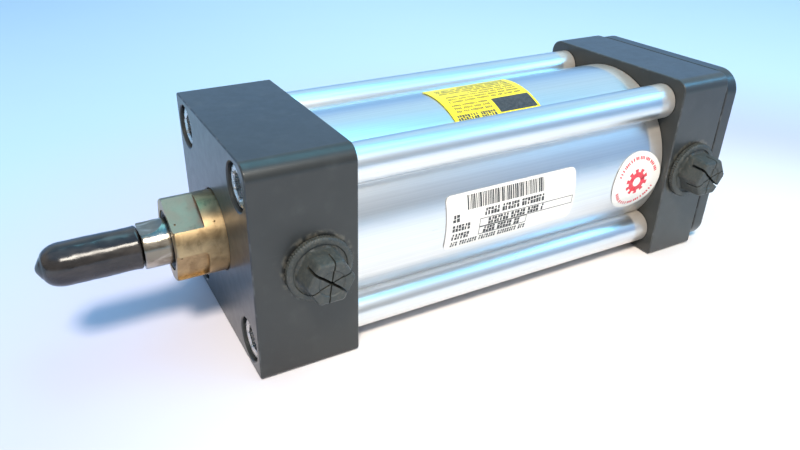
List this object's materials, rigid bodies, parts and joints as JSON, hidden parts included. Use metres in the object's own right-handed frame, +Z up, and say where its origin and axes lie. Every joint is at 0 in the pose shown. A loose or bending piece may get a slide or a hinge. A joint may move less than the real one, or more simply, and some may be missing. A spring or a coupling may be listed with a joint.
{
  "type": "pneumatic cylinder",
  "caption": "Square-flanged air cylinder with a profile tube body, a chromed rod with a covered male thread, plugged air ports and a rear clevis with its pin.",
  "frame": {"origin": "middle of the head block's underside, on the surface that the cylinder stands on, straight below the piston axis", "axes": "+X along the piston axis from the rod end toward the clevis, +Y away from the air ports, +Z up; the axis lies 38.1 mm above the origin"},
  "size_m": [0.2966, 0.0874, 0.0762],
  "materials": {
    "anodised_black": "black anodised aluminium, satin, slate grey in the light",
    "anodised_clear": "clear anodised extruded aluminium, satin with lengthwise streaks",
    "bronze": "turned bearing bronze, fine turning marks",
    "chrome": "hard chrome plated and polished steel",
    "zinc_steel": "bright zinc plated steel",
    "dark_steel": "blackened steel, satin",
    "cast_aluminium": "machined aluminium",
    "black_vinyl": "dipped black vinyl, glossy",
    "black_plastic": "moulded black polyethylene, dusty satin",
    "nitrile": "black nitrile rubber",
    "urethane": "amber polyurethane",
    "acetal": "off-white filled acetal",
    "label_white": "white film label, semi gloss",
    "label_yellow": "yellow film label, semi gloss"
  },
  "bodies": {
    "barrel": {"head": "anodised_black", "cap": "anodised_black", "clevis_bracket": "anodised_black", "body_extrusion": "anodised_clear", "rod_gland": "bronze", "gland_o_ring": "nitrile", "rod_wiper": "urethane", "rod_seal": "nitrile", "head_body_o_ring": "nitrile", "cap_body_o_ring": "nitrile", "head_cushion_seal": "urethane", "cap_cushion_seal": "urethane", "data_label": "label_white", "caution_label": "label_yellow", "round_sticker": "label_white", "head_screw_1": "zinc_steel", "head_screw_2": "zinc_steel", "head_screw_3": "zinc_steel", "head_screw_4": "zinc_steel", "cap_screw_1": "zinc_steel", "cap_screw_2": "zinc_steel", "cap_screw_3": "zinc_steel", "cap_screw_4": "zinc_steel"},
    "piston_carriage": {"piston_seal_front": "nitrile", "piston_seal_rear": "nitrile", "piston_wear_ring": "acetal"},
    "rod": {"piston_rod": "chrome", "piston": "cast_aluminium", "piston_o_ring": "nitrile", "front_cushion_sleeve": "dark_steel", "rear_cushion_spear": "dark_steel"},
    "protector": {"thread_protector": "black_vinyl"},
    "clevis_pin_set": {"clevis_pin": "zinc_steel", "pin_ring_top": "dark_steel", "pin_ring_bottom": "dark_steel"},
    "head_needle": {"head_cushion_needle": "zinc_steel", "head_needle_o_ring": "nitrile"},
    "cap_needle": {"cap_cushion_needle": "zinc_steel", "cap_needle_o_ring": "nitrile"},
    "head_plug": {"head_port_plug": "black_plastic"},
    "cap_plug": {"cap_port_plug": "black_plastic"}
  },
  "joints": [
    {"name": "rod_slide", "type": "slide", "parent": "barrel", "child": "piston_carriage", "axis": [-1, 0, 0], "range_m": [0, 0.0998]},
    {"name": "rod_turn", "type": "hinge", "parent": "piston_carriage", "child": "rod", "pos_m": [0.14, 0, 0.0381], "axis": [1, 0, 0], "continuous": true},
    {"name": "protector_pull", "type": "slide", "parent": "rod", "child": "protector", "axis": [-1, 0, 0], "range_m": [0, 0.022]},
    {"name": "clevis_pin_turn", "type": "hinge", "parent": "barrel", "child": "clevis_pin_set", "pos_m": [0.20785, 0, 0.0381], "axis": [0, 0, 1], "continuous": true},
    {"name": "head_needle_turn", "type": "hinge", "parent": "barrel", "child": "head_needle", "pos_m": [0.0035, 0.03, 0.0381], "axis": [0, 1, 0], "range_deg": [0, 1080]},
    {"name": "cap_needle_turn", "type": "hinge", "parent": "barrel", "child": "cap_needle", "pos_m": [0.1703, 0.03, 0.0381], "axis": [0, 1, 0], "range_deg": [0, 1080]},
    {"name": "head_plug_pull", "type": "slide", "parent": "barrel", "child": "head_plug", "axis": [0, -1, 0], "range_m": [0, 0.014]},
    {"name": "cap_plug_pull", "type": "slide", "parent": "barrel", "child": "cap_plug", "axis": [0, -1, 0], "range_m": [0, 0.014]}
  ]
}
